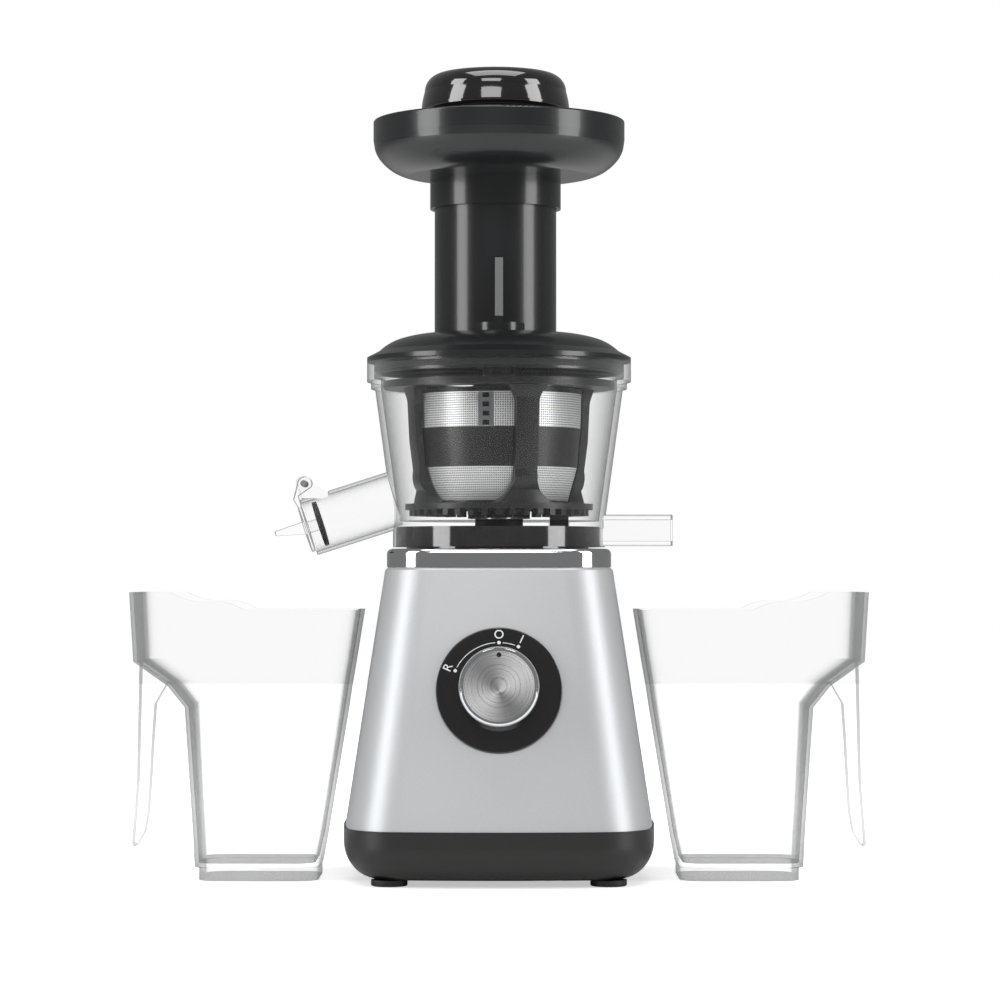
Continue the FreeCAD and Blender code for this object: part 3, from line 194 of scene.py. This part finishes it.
def turned_aluminium(centre):
    """Spun aluminium: fine rings round the knob's axis that stretch the highlight, and painted highlight
    fans in the base colour.
    """
    material, tree, shader, _ = blank_material("spun aluminium with painted highlight")
    set_shader(shader, linear("#A9AAAC"), 0.3, Metallic=1.0)
    place = add_node(tree, "ShaderNodeTexCoord")
    offset = add_node(tree, "ShaderNodeVectorMath", {"operation": "SUBTRACT"},
                      links={0: place.outputs["Object"]})
    offset.inputs[1].default_value = centre
    radius = add_node(tree, "ShaderNodeVectorMath", {"operation": "LENGTH"},
                      links={0: offset.outputs["Vector"]})
    scaled = add_node(tree, "ShaderNodeMath", {"operation": "DIVIDE"},
                      links={0: radius.outputs["Value"]})
    scaled.inputs[1].default_value = sizes().brush_pitch
    rings = add_node(tree, "ShaderNodeTexNoise", {"noise_dimensions": "1D"},
                     inputs={"Scale": 1.0, "Detail": 2.0}, links={"W": scaled.outputs["Value"]})
    tone = add_node(tree, "ShaderNodeMapRange", inputs={"To Min": 0.18, "To Max": 0.42},
                    links={"Value": rings.outputs["Fac"]})
    tree.links.new(tone.outputs["Result"], shader.inputs["Roughness"])
    bump = add_node(tree, "ShaderNodeBump", inputs={"Strength": 0.5, "Distance": 0.00004},
                    links={"Height": rings.outputs["Fac"]})
    tree.links.new(bump.outputs["Normal"], shader.inputs["Normal"])
    # a spun face shows two pairs of opposed light fans round its centre; here they are painted
    # highlight, drawn into the base colour
    split = add_node(tree, "ShaderNodeSeparateXYZ", links={"Vector": offset.outputs["Vector"]})
    angle = add_node(tree, "ShaderNodeMath", {"operation": "ARCTAN2"},
                     links={0: split.outputs["Z"], 1: split.outputs["X"]})
    double = add_node(tree, "ShaderNodeMath", {"operation": "MULTIPLY_ADD"},
                      links={0: angle.outputs["Value"]})
    double.inputs[1].default_value = 2.0
    double.inputs[2].default_value = math.radians(-70)
    highlight_wave = add_node(tree, "ShaderNodeMath", {"operation": "COSINE"}, links={0: double.outputs["Value"]})
    painted_highlight_fan = add_node(tree, "ShaderNodeMapRange",
                   inputs={"From Min": -1.0, "From Max": 1.0, "To Min": 0.22, "To Max": 0.62},
                   links={"Value": highlight_wave.outputs["Value"]})
    ring_tone = add_node(tree, "ShaderNodeMapRange", inputs={"To Min": 0.9, "To Max": 1.1},
                         links={"Value": rings.outputs["Fac"]})
    ring_and_highlight_tone = add_node(tree, "ShaderNodeMath", {"operation": "MULTIPLY"},
                       links={0: painted_highlight_fan.outputs["Result"], 1: ring_tone.outputs["Result"]})
    # base colour: the turned rings times the painted highlight fans
    grey = add_node(tree, "ShaderNodeCombineXYZ", links={
        "X": ring_and_highlight_tone.outputs["Value"], "Y": ring_and_highlight_tone.outputs["Value"], "Z": ring_and_highlight_tone.outputs["Value"]})
    tree.links.new(grey.outputs["Vector"], shader.inputs["Base Color"])
    return material


def clear_copolyester(name):
    """Clear copolyester: all but unseen face on, and grey along its edges where the wall is long, the
    grey being painted shade in the see-through colour.
    """
    material, tree, shader, output = blank_material(name)
    set_shader(shader, colours().clear, 0.05, IOR=1.45)
    facing = add_node(tree, "ShaderNodeLayerWeight", inputs={"Blend": 0.5})
    edge = add_node(tree, "ShaderNodeMath", {"operation": "POWER"},
                    links={0: facing.outputs["Facing"]})
    edge.inputs[1].default_value = 3.0
    # painted shade: the see-through colour goes from white face on to grey at grazing edges
    fleck_tint_and_painted_edge_shade = add_node(tree, "ShaderNodeMix", {"data_type": "RGBA"},
                    links={"Factor": edge.outputs["Value"]})
    fleck_tint_and_painted_edge_shade.inputs["A"].default_value = linear("#FEFEFE")
    fleck_tint_and_painted_edge_shade.inputs["B"].default_value = linear("#A2A3A3")
    see_through = add_node(tree, "ShaderNodeBsdfTransparent", links={"Color": fleck_tint_and_painted_edge_shade.outputs["Result"]})
    share = add_node(tree, "ShaderNodeMapRange", inputs={"To Min": 0.014, "To Max": 0.42},
                     links={"Value": edge.outputs["Value"]})
    blend = add_node(tree, "ShaderNodeMixShader", links={"Fac": share.outputs["Result"]})
    tree.links.new(see_through.outputs["BSDF"], blend.inputs[1])
    tree.links.new(shader.outputs["BSDF"], blend.inputs[2])
    tree.links.new(blend.outputs["Shader"], output.inputs["Surface"])
    return material


def perforated_steel():
    """Etched stainless mesh: staggered round holes in a bright satin sheet.

    The real holes are about 0.3 mm wide; they are drawn at the pitch given, so that they show.
    """
    material, tree, shader, _ = blank_material("etched strainer mesh")
    set_shader(shader, linear("#A9AAAA"), 0.38, Metallic=0.6)
    place = add_node(tree, "ShaderNodeTexCoord")
    split = add_node(tree, "ShaderNodeSeparateXYZ", links={"Vector": place.outputs["Object"]})
    angle = add_node(tree, "ShaderNodeMath", {"operation": "ARCTAN2"},
                     links={0: split.outputs["Y"], 1: split.outputs["X"]})
    round_way = add_node(tree, "ShaderNodeMath", {"operation": "MULTIPLY"},
                         links={0: angle.outputs["Value"]})
    round_way.inputs[1].default_value = 0.040
    flat = add_node(tree, "ShaderNodeCombineXYZ", links={
        "X": round_way.outputs["Value"], "Y": split.outputs["Z"]})
    holes = add_node(tree, "ShaderNodeTexVoronoi",
                     {"voronoi_dimensions": "2D", "feature": "F1"},
                     inputs={"Scale": 1.0 / sizes().mesh_pitch, "Randomness": 0.12},
                     links={"Vector": flat.outputs["Vector"]})
    pit = add_node(tree, "ShaderNodeMapRange", inputs={"From Min": 0.22, "From Max": 0.38},
                   links={"Value": holes.outputs["Distance"]})
    tone = add_node(tree, "ShaderNodeMix", {"data_type": "RGBA"},
                    links={"Factor": pit.outputs["Result"]})
    tone.inputs["A"].default_value = linear("#3A3A3A")
    tone.inputs["B"].default_value = linear("#D2D3D3")
    tree.links.new(tone.outputs["Result"], shader.inputs["Base Color"])
    bump = add_node(tree, "ShaderNodeBump", inputs={"Strength": 0.8, "Distance": 0.0003},
                    links={"Height": pit.outputs["Result"]})
    tree.links.new(bump.outputs["Normal"], shader.inputs["Normal"])
    return material


def machined_steel(name, code, roughness):
    """Machined metal: a grey mirror blurred by fine tool marks."""
    material, tree, shader, _ = blank_material(name)
    set_shader(shader, linear(code), roughness, Metallic=1.0)
    fine_grain(tree, shader, 0.0006, 0.00003, (roughness * 0.85, roughness * 1.15))
    return material


def natural_acetal():
    """Natural acetal gear stock: milky, waxy and slightly translucent."""
    material, tree, shader, _ = blank_material("natural acetal")
    set_shader(shader, linear("#DEDCD2"), 0.35, Subsurface_Weight=0.15, Subsurface_Scale=0.002)
    fine_grain(tree, shader, 0.0009, 0.00003)
    return material


def printed_ink():
    """Pad-printed pale ink: thin, even and slightly matt."""
    material, tree, shader, _ = blank_material("pale printed ink")
    set_shader(shader, colours().mark, 0.5)
    fine_grain(tree, shader, 0.0005, 0.00001)
    return material


def make_materials():
    """One material for each real finish."""
    tones = colours()
    return {
        "silver": silver_lacquer(),
        "pan": moulded_black("grained black ABS", tones.pan, 0.38),
        "gloss": moulded_black("piano black ABS", tones.gloss, 0.10, 0.006, 1.0, 0.00001),
        "smoked": moulded_black("satin smoked ABS", tones.smoked, 0.24, 0.0012, 0.25, 0.00002),
        "basket": moulded_black("satin black polypropylene", tones.basket, 0.34),
        "silicone": moulded_black("black silicone", linear("#141414"), 0.55, 0.0009),
        "chrome": bright_chrome(),
        "spun": turned_aluminium(DIAL_CENTRE),
        "clear": clear_copolyester("clear copolyester"),
        "mesh": perforated_steel(),
        "steel": machined_steel("machined steel", "#A8A9AB", 0.32),
        "laminations": machined_steel("stacked laminations", "#6A6B6D", 0.5),
        "copper": machined_steel("varnished copper wire", "#B06A35", 0.38),
        "acetal": natural_acetal(),
        "ink": printed_ink(),
    }


FINISH = {
    "silver": ["base_housing"],
    "pan": ["base_pan", "cable_gland", "cooling_fan", "rotary_switch", "gearbox_cover"],
    "gloss": ["top_deck", "dial_plate", "pusher_cap", "bowl_collar"],
    "smoked": ["lid", "hopper_tray", "pusher_body"],
    "basket": ["wiper_basket", "strainer_frame", "auger", "idler_gear"],
    "silicone": ["foot_front_left", "foot_front_right", "foot_rear_left", "foot_rear_right",
                 "shaft_seal", "bowl_shaft_seal", "cap_seal", "lid_gasket",
                 "wiper_blade_1", "wiper_blade_2", "wiper_blade_3", "wiper_blade_4"],
    "chrome": ["chrome_ring", "knob_hub"],
    "spun": ["knob_cap"],
    "clear": ["juicing_bowl", "juice_cap", "juice_jug", "pulp_jug"],
    "mesh": ["strainer_mesh_upper", "strainer_mesh_lower"],
    "steel": ["drive_shaft", "auger_socket", "gear_pin", "spout_hinge_pin", "layshaft_pin",
              "output_bearing", "gearbox_plate", "motor_lower_bracket", "motor_rotor"],
    "laminations": ["motor_stator"],
    "copper": ["motor_windings_upper"],
    "acetal": ["output_gear", "intermediate_gear"],
}


# Shapes that the dressing adds

def mesh_object(name, mesh_data, material, body):
    """Wrap a bmesh as an object that rides on one body."""
    mesh = bpy.data.meshes.new(name)
    mesh_data.to_mesh(mesh)
    mesh_data.free()
    mesh.materials.append(material)
    piece = bpy.data.objects.new(name, mesh)
    bpy.context.scene.collection.objects.link(piece)
    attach(piece, body)
    return piece


def dial_point(radius, degrees, lift):
    """A point on the dial: degrees turn left from the top, lift is out from the face."""
    angle = math.radians(degrees)
    return (DIAL_CENTRE + DIAL_UP * radius * math.cos(angle)
            - DIAL_RIGHT * radius * math.sin(angle) + DIAL_OUT * lift)


def dial_basis(radius, degrees, lift):
    """A frame at a point of the dial, upright along its own radius."""
    angle = math.radians(degrees)
    outward = DIAL_UP * math.cos(angle) - DIAL_RIGHT * math.sin(angle)
    across = outward.cross(DIAL_OUT)
    basis = Matrix((across, outward, DIAL_OUT)).transposed().to_4x4()
    basis.translation = dial_point(radius, degrees, lift)
    return basis


# Marks stand just proud of the plate; the degrees are the knob's stops, left of the top
MARK_LIFT = 0.00112
MARK_THICKNESS = 0.0001
ARC_WIDTH = 0.00035
ARC_GAP = 4.5
REVERSE_TURN = 66.0
ON_TURN = -24.0
MARKS = (("O", 0.0), ("R", REVERSE_TURN), ("I", ON_TURN))
POINTER_CIRCLE = 0.0150
POINTER_LIFT = 0.01656
POINTER_RADIUS = 0.0012


def dot(radius, material, body, basis, name, thick=0.00012):
    """A small flat disc with a rounded top edge."""
    shape = bmesh.new()
    bmesh.ops.create_cone(shape, cap_ends=True, segments=24, radius1=radius, radius2=radius * 0.9,
                          depth=thick)
    shape.transform(basis)
    return mesh_object(name, shape, material, body)


def arc_strip(name, start, end, radius, width, lift, material):
    """A thin printed arc between two marks of the dial."""
    shape = bmesh.new()
    count = max(int(abs(end - start) / 2), 4)
    rows = []
    for step in range(count + 1):
        degrees = start + (end - start) * step / count
        rows.append([
            shape.verts.new(dial_point(radius + side * width / 2, degrees, lift + rise))
            for side, rise in ((-1, 0), (1, 0), (1, MARK_THICKNESS), (-1, MARK_THICKNESS))
        ])
    for near, far in zip(rows, rows[1:]):
        for k in range(4):
            shape.faces.new((near[k], near[(k + 1) % 4], far[(k + 1) % 4], far[k]))
    shape.faces.new(rows[0])
    shape.faces.new(rows[-1][::-1])
    bmesh.ops.recalc_face_normals(shape, faces=shape.faces)
    return mesh_object(name, shape, material, "motor_base")


def glyph(letter, degrees, material):
    """One generic switch mark, turned to stand along its own radius."""
    curve = bpy.data.curves.new(f"dial mark {letter}", "FONT")
    curve.body = letter
    curve.size = sizes().glyph_height / 0.7
    curve.align_x = "CENTER"
    curve.align_y = "CENTER"
    curve.extrude = 0.00005
    text = bpy.data.objects.new(f"dial mark {letter}", curve)
    bpy.context.scene.collection.objects.link(text)
    text.matrix_world = dial_basis(sizes().glyph_circle, degrees, MARK_LIFT)
    bpy.context.view_layer.update()
    flat = bpy.data.meshes.new_from_object(text.evaluated_get(bpy.context.evaluated_depsgraph_get()))
    flat.transform(text.matrix_world)
    bpy.data.objects.remove(text)
    flat.materials.clear()
    flat.materials.append(material)
    piece = bpy.data.objects.new(f"dial_mark_{letter}", flat)
    bpy.context.scene.collection.objects.link(piece)
    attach(piece, "motor_base")
    return piece


# The plain strip on the upper mesh, left of the front, with its column of holes
STRIP_TURN = -9.0
STRIP_MARGIN = 0.0003
STRIP_LIFT = 0.00002
HOLE_LIFT = 0.00012
HOLE_PITCH = 0.0045
HOLE_HEIGHT = 0.0024


def curved_patch(name, angles, heights, lift, material, body):
    """A thin patch that lies on the strainer's upper mesh; angles are degrees from the front."""
    low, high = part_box("strainer_mesh_upper")
    shape = bmesh.new()
    grid = []
    for degrees in angles:
        angle = math.radians(degrees)
        column = []
        for height in heights:
            share = (height - low.z) / (high.z - low.z)
            radius = sizes().mesh_foot_radius + share * (high.x - sizes().mesh_foot_radius) + lift
            column.append(shape.verts.new((radius * math.sin(angle), -radius * math.cos(angle), height)))
        grid.append(column)
    for left, right in zip(grid, grid[1:]):
        for k in range(len(heights) - 1):
            shape.faces.new((left[k], right[k], right[k + 1], left[k + 1]))
    bmesh.ops.solidify(shape, geom=shape.faces[:], thickness=-0.00008)
    bmesh.ops.recalc_face_normals(shape, faces=shape.faces)
    return mesh_object(name, shape, material, body)


# Operators

MATERIALS = {}


class JUICER_OT_finishes(bpy.types.Operator):
    """Give every carried-over piece the material of its real finish"""

    bl_idname = "juicer.finishes"
    bl_label = "Finishes"

    def execute(self, context):
        MATERIALS.update(make_materials())
        for finish, nodes in FINISH.items():
            for node in nodes:
                piece = bpy.data.objects[node]
                if not piece.material_slots:
                    piece.data.materials.append(MATERIALS[finish])
                for slot in piece.material_slots:
                    slot.material = MATERIALS[finish]
        return {"FINISHED"}


class JUICER_OT_dial(bpy.types.Operator):
    """Print the dots, the arc and the switch letters on the dial"""

    bl_idname = "juicer.dial"
    bl_label = "Dial marks"

    def execute(self, context):
        ink = MATERIALS["ink"]
        size = sizes()
        for letter, degrees in MARKS:
            basis = dial_basis(size.mark_circle, degrees, MARK_LIFT)
            dot(size.dot_radius, ink, "motor_base", basis, f"dial_dot_{letter}")
            glyph(letter, degrees, ink)
        arc_strip("dial_arc_left", ARC_GAP, REVERSE_TURN - ARC_GAP, size.mark_circle, ARC_WIDTH,
                  MARK_LIFT, ink)
        arc_strip("dial_arc_right", ON_TURN + ARC_GAP, -ARC_GAP, size.mark_circle, ARC_WIDTH,
                  MARK_LIFT, ink)
        pointer = dial_basis(POINTER_CIRCLE, 0.0, POINTER_LIFT)
        dot(POINTER_RADIUS, MATERIALS["gloss"], "knob", pointer, "knob_pointer")
        return {"FINISHED"}


class JUICER_OT_mesh_strip(bpy.types.Operator):
    """Lay the plain strip with its four square holes on the upper mesh"""

    bl_idname = "juicer.mesh_strip"
    bl_label = "Strainer strip"

    def execute(self, context):
        low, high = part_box("strainer_mesh_upper")
        wide = [STRIP_TURN + step for step in (-5.5, -2.75, 0.0, 2.75, 5.5)]
        curved_patch("mesh_strip", wide, [low.z + STRIP_MARGIN, high.z - STRIP_MARGIN], STRIP_LIFT,
                     MATERIALS["steel"], "bowl")
        pitch, height = HOLE_PITCH, HOLE_HEIGHT
        lowest = (low.z + high.z) / 2 - 1.5 * pitch
        narrow = [STRIP_TURN + step for step in (-2.25, 0.0, 2.25)]
        for number in range(4):
            centre = lowest + number * pitch
            curved_patch(f"strip_hole_{number + 1}", narrow, [centre - height / 2, centre + height / 2],
                         HOLE_LIFT, MATERIALS["basket"], "bowl")
        return {"FINISHED"}


LAMP_TARGET = (0, 0, 0.2)

# Each lamp's name, place, width, height and power in watts
SOFTBOXES = (
    ("left softbox", (-1.25, -0.55, 0.5), 0.55, 1.5, 17),
    ("right softbox", (1.25, -0.55, 0.5), 0.55, 1.5, 17),
    ("top softbox", (0, -0.3, 1.7), 1.4, 1.0, 17),
    ("front fill", (-0.3, -2.4, 1.6), 1.4, 0.8, 19),
)
# Half of what the lens takes in at the machine's axis, and the height that it looks at
HALF_VIEW = 0.250
AIM_HEIGHT = 0.1876
CAMERA_SIDE = 0.0005


def softbox(name, place, target, width, height, power):
    """A rectangular studio lamp turned towards a point."""
    lamp = bpy.data.lights.new(name, "AREA")
    lamp.shape = "RECTANGLE"
    lamp.size = width
    lamp.size_y = height
    lamp.energy = power
    item = bpy.data.objects.new(name, lamp)
    bpy.context.scene.collection.objects.link(item)
    item.location = place
    item.rotation_euler = (Vector(target) - Vector(place)).to_track_quat("-Z", "Y").to_euler()
    return item


def shown_white(name, tone, roughness):
    """Pale paint of one tone and roughness; the stage adds a glow that makes the lens and glass see it
    as white paper.
    """
    material, tree, shader, output = blank_material(name)
    set_shader(shader, tone, roughness)
    return material, tree, shader, output


class JUICER_OT_stage(bpy.types.Operator):
    """Set the floor, the lamps, the world and the camera"""

    bl_idname = "juicer.stage"
    bl_label = "Stage"

    def execute(self, context):
        scene = context.scene
        scene.view_settings.view_transform = "Standard"
        world = bpy.data.worlds.new("studio")
        scene.world = world
        world.use_nodes = True
        tree = world.node_tree
        tree.nodes.clear()
        path = add_node(tree, "ShaderNodeLightPath")
        seen = add_node(tree, "ShaderNodeMath", {"operation": "MAXIMUM"},
                        links={0: path.outputs["Is Camera Ray"], 1: path.outputs["Is Transmission Ray"]})
        soft = add_node(tree, "ShaderNodeBackground",
                        inputs={"Color": (1, 1, 1, 1), "Strength": 0.22})
        white = add_node(tree, "ShaderNodeBackground",
                         inputs={"Color": (1, 1, 1, 1), "Strength": 1.0})
        mix = add_node(tree, "ShaderNodeMixShader", links={"Fac": seen.outputs["Value"]})
        tree.links.new(soft.outputs["Background"], mix.inputs[1])
        tree.links.new(white.outputs["Background"], mix.inputs[2])
        add_node(tree, "ShaderNodeOutputWorld", links={"Surface": mix.outputs["Shader"]})

        floor_data = bmesh.new()
        bmesh.ops.create_grid(floor_data, x_segments=1, y_segments=1, size=3.0)
        floor_mesh = bpy.data.meshes.new("floor")
        floor_data.to_mesh(floor_mesh)
        floor_data.free()
        floor = bpy.data.objects.new("floor", floor_mesh)
        scene.collection.objects.link(floor)
        floor.location = (0, 0, -0.0002)
        material, tree, shader, output = shown_white("white paper", (0.9, 0.9, 0.9, 1), 0.8)
        path = add_node(tree, "ShaderNodeLightPath")
        seen = add_node(tree, "ShaderNodeMath", {"operation": "MAXIMUM"},
                        links={0: path.outputs["Is Camera Ray"], 1: path.outputs["Is Transmission Ray"]})
        # the paper is as white as the backdrop away from the object, and keeps the shadow near it
        place = add_node(tree, "ShaderNodeTexCoord")
        reach = add_node(tree, "ShaderNodeVectorMath", {"operation": "LENGTH"},
                         links={0: place.outputs["Object"]})
        glow = add_node(tree, "ShaderNodeMapRange",
                        inputs={"From Min": 0.2, "From Max": 0.55, "To Min": 0.5, "To Max": 1.0},
                        links={"Value": reach.outputs["Value"]})
        lift = add_node(tree, "ShaderNodeEmission", inputs={"Color": (1, 1, 1, 1)},
                        links={"Strength": glow.outputs["Result"]})
        both = add_node(tree, "ShaderNodeAddShader")
        tree.links.new(shader.outputs["BSDF"], both.inputs[0])
        tree.links.new(lift.outputs["Emission"], both.inputs[1])
        mix = add_node(tree, "ShaderNodeMixShader", links={"Fac": seen.outputs["Value"]})
        tree.links.new(shader.outputs["BSDF"], mix.inputs[1])
        tree.links.new(both.outputs["Shader"], mix.inputs[2])
        tree.links.new(mix.outputs["Shader"], output.inputs["Surface"])
        floor_mesh.materials.append(material)

        for name, place, width, height, power in SOFTBOXES:
            softbox(name, place, LAMP_TARGET, width, height, power)

        lens = bpy.data.cameras.new("camera")
        item = bpy.data.objects.new("camera", lens)
        scene.collection.objects.link(item)
        size = sizes()
        lens.sensor_width = 36.0
        lens.sensor_fit = "HORIZONTAL"
        lens.angle = 2 * math.atan(HALF_VIEW / size.camera_distance)
        place = Vector((CAMERA_SIDE, -size.camera_distance, size.camera_height))
        aim = Vector((CAMERA_SIDE, 0.0, AIM_HEIGHT))
        item.location = place
        item.rotation_euler = (aim - place).to_track_quat("-Z", "Y").to_euler()
        scene.camera = item
        return {"FINISHED"}


class JUICER_PT_panel(bpy.types.Panel):
    """Lists the juicer's steps, colours and sizes."""

    bl_idname = "JUICER_PT_panel"
    bl_label = "Juicer"
    bl_space_type = "VIEW_3D"
    bl_region_type = "UI"
    bl_category = "Juicer"

    def draw(self, context):
        layout = self.layout
        for operator in OPERATORS:
            layout.operator(operator.bl_idname)
        for group in (context.scene.juicer_colours, context.scene.juicer_sizes):
            column = layout.column()
            for name in group.__annotations__:
                column.prop(group, name)


OPERATORS = (JUICER_OT_finishes, JUICER_OT_dial, JUICER_OT_mesh_strip, JUICER_OT_stage)
CLASSES = (JuicerColours, JuicerSizes, *OPERATORS, JUICER_PT_panel)


def register():
    for item in CLASSES:
        bpy.utils.register_class(item)
    bpy.types.Scene.juicer_colours = bpy.props.PointerProperty(type=JuicerColours)
    bpy.types.Scene.juicer_sizes = bpy.props.PointerProperty(type=JuicerSizes)


def unregister():
    del bpy.types.Scene.juicer_sizes
    del bpy.types.Scene.juicer_colours
    for item in reversed(CLASSES):
        bpy.utils.unregister_class(item)


def main():
    register()
    bpy.ops.juicer.finishes()
    bpy.ops.juicer.dial()
    bpy.ops.juicer.mesh_strip()
    bpy.ops.juicer.stage()


if __name__ == "__main__":
    main()
